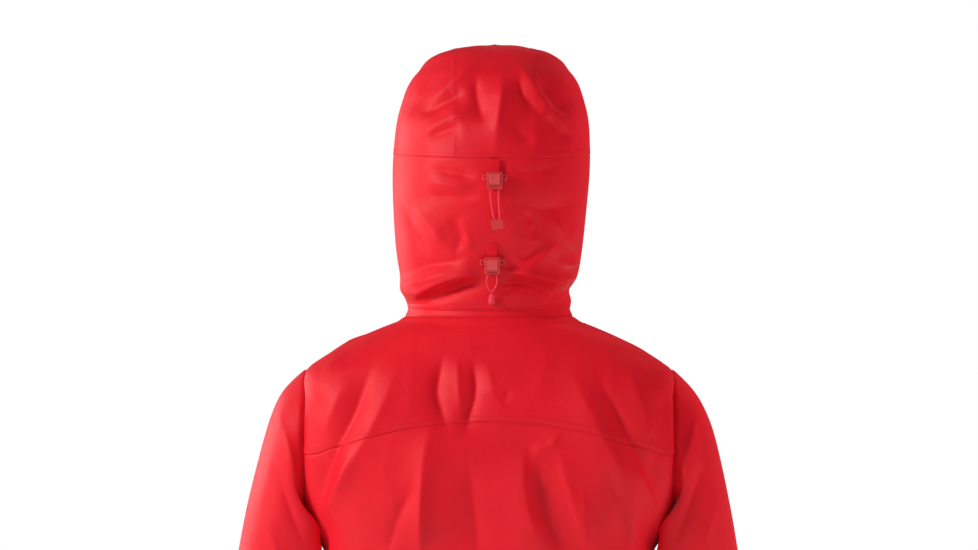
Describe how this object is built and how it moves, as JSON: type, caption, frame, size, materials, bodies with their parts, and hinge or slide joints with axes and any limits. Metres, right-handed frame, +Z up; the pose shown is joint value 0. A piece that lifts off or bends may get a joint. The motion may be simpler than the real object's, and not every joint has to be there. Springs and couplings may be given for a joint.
{
  "type": "hooded hardshell jacket",
  "caption": "Waterproof hooded mountain jacket in its worn shape, with a full-length front zip, a hood that tips back, cord locks, hand pockets and cuff tabs.",
  "frame": {"origin": "middle of the jacket's bounding box, on the surface that its hem stands on", "axes": "+Z up, -Y the way the wearer faces, +X the wearer's left"},
  "size_m": [0.6112, 0.3217, 1.0475],
  "materials": {
    "shell_fabric": "smooth waterproof face fabric",
    "lining_fabric": "soft brushed lining",
    "webbing": "woven tape",
    "lock_plastic": "clear tinted plastic",
    "lock_button": "textured plastic",
    "elastic_cord": "braided elastic",
    "zip_tape": "coated zip tape",
    "zip_metal": "painted",
    "trim": "moulded"
  },
  "bodies": {
    "jacket": {"back_panel": "shell_fabric", "back_yoke": "shell_fabric", "front_panel_left": "shell_fabric", "front_panel_right": "shell_fabric", "hem_band_back": "shell_fabric", "hem_band_left": "shell_fabric", "hem_band_right": "shell_fabric", "collar": "shell_fabric", "chin_guard_left": "lining_fabric", "chin_guard_right": "lining_fabric", "hanger_loop": "trim", "zip_tape_left": "zip_tape", "zip_tape_right": "zip_tape", "zip_storm_flap": "lining_fabric", "zip_base": "zip_metal", "pocket_zip_left": "zip_tape", "pocket_zip_right": "zip_tape", "pocket_bag_left": "lining_fabric", "pocket_bag_right": "lining_fabric", "hem_left_lock_housing": "lock_plastic", "hem_right_lock_housing": "lock_plastic", "hem_cord_left": "elastic_cord", "hem_cord_right": "elastic_cord"},
    "hood": {"hood_lower_panel": "shell_fabric", "hood_crown_panel": "shell_fabric", "hood_side_panel_left": "shell_fabric", "hood_side_panel_right": "shell_fabric", "hood_brim": "shell_fabric", "upper_lock_housing": "lock_plastic", "upper_webbing_tab": "webbing", "upper_cord": "elastic_cord", "upper_cord_pull": "lock_plastic", "lower_lock_housing": "lock_plastic", "lower_webbing_tab": "webbing", "lower_cord": "elastic_cord", "lower_cord_knot": "elastic_cord"},
    "sleeve_left": {"upper_sleeve_left": "shell_fabric", "forearm_sleeve_left": "shell_fabric", "cuff_band_left": "shell_fabric", "cuff_loop_patch_left": "trim"},
    "sleeve_right": {"upper_sleeve_right": "shell_fabric", "forearm_sleeve_right": "shell_fabric", "cuff_band_right": "shell_fabric", "cuff_loop_patch_right": "trim"},
    "tab_left": {"cuff_tab_left": "trim"},
    "tab_right": {"cuff_tab_right": "trim"},
    "main_slider": {"main_zip_slider": "zip_metal"},
    "main_pull": {"main_zip_pull": "zip_metal"},
    "pocket_slider_l": {"pocket_slider_left": "zip_metal"},
    "pocket_slider_r": {"pocket_slider_right": "zip_metal"},
    "pocket_pull_l": {"pocket_pull_left": "zip_metal"},
    "pocket_pull_r": {"pocket_pull_right": "zip_metal"},
    "upper_button": {"upper_lock_button": "lock_button"},
    "lower_button": {"lower_lock_button": "lock_button"},
    "hem_button_l": {"hem_left_lock_button": "lock_button"},
    "hem_button_r": {"hem_right_lock_button": "lock_button"}
  },
  "joints": [
    {"name": "hood_tip", "type": "hinge", "parent": "jacket", "child": "hood", "pos_m": [0, 0.11815, 0.7525], "axis": [-1, 0, 0], "range_deg": [0, 110]},
    {"name": "sleeve_left_swing", "type": "hinge", "parent": "jacket", "child": "sleeve_left", "pos_m": [0.19, 0.02915, 0.595], "axis": [-1, 0, 0], "range_deg": [-30, 110]},
    {"name": "sleeve_right_swing", "type": "hinge", "parent": "jacket", "child": "sleeve_right", "pos_m": [-0.19, 0.02915, 0.595], "axis": [-1, 0, 0], "range_deg": [-30, 110]},
    {"name": "cuff_tab_left_peel", "type": "hinge", "parent": "sleeve_left", "child": "tab_left", "pos_m": [0.24622, 0.01577, 0.06895], "axis": [-0.0307, 0.2149, 0.9762], "range_deg": [0, 75]},
    {"name": "cuff_tab_right_peel", "type": "hinge", "parent": "sleeve_right", "child": "tab_right", "pos_m": [-0.24622, 0.01577, 0.06895], "axis": [-0.0307, -0.2149, -0.9762], "range_deg": [0, 75]},
    {"name": "main_zip_slide", "type": "slide", "parent": "jacket", "child": "main_slider", "axis": [0, -0.0599, -0.9982], "range_m": [0, 0.7165]},
    {"name": "main_pull_swing", "type": "hinge", "parent": "main_slider", "child": "main_pull", "pos_m": [0, -0.08652, 0.74219], "axis": [-1, 0, 0], "range_deg": [0, 150]},
    {"name": "pocket_zip_left_slide", "type": "slide", "parent": "jacket", "child": "pocket_slider_l", "axis": [-0.1314, -0.1069, -0.9856], "range_m": [0, 0.16]},
    {"name": "pocket_zip_right_slide", "type": "slide", "parent": "jacket", "child": "pocket_slider_r", "axis": [0.1314, -0.1069, -0.9856], "range_m": [0, 0.16]},
    {"name": "pocket_pull_left_swing", "type": "hinge", "parent": "pocket_slider_l", "child": "pocket_pull_l", "pos_m": [0.13129, -0.08956, 0.39538], "axis": [-0.8704, -0.4634, 0.1663], "range_deg": [0, 150]},
    {"name": "pocket_pull_right_swing", "type": "hinge", "parent": "pocket_slider_r", "child": "pocket_pull_r", "pos_m": [-0.13129, -0.08956, 0.39538], "axis": [-0.8704, 0.4634, -0.1663], "range_deg": [0, 150]},
    {"name": "upper_button_press", "type": "slide", "parent": "hood", "child": "upper_button", "axis": [0, -1, 0], "range_m": [0, 0.0016], "stiffness_N_per_m": 300},
    {"name": "lower_button_press", "type": "slide", "parent": "hood", "child": "lower_button", "axis": [0, -0.9703, 0.2419], "range_m": [0, 0.0016], "stiffness_N_per_m": 300},
    {"name": "hem_button_left_press", "type": "slide", "parent": "jacket", "child": "hem_button_l", "axis": [-0.8082, 0.5848, -0.0698], "range_m": [0, 0.0014], "stiffness_N_per_m": 300},
    {"name": "hem_button_right_press", "type": "slide", "parent": "jacket", "child": "hem_button_r", "axis": [0.8082, 0.5848, -0.0698], "range_m": [0, 0.0014], "stiffness_N_per_m": 300}
  ]
}
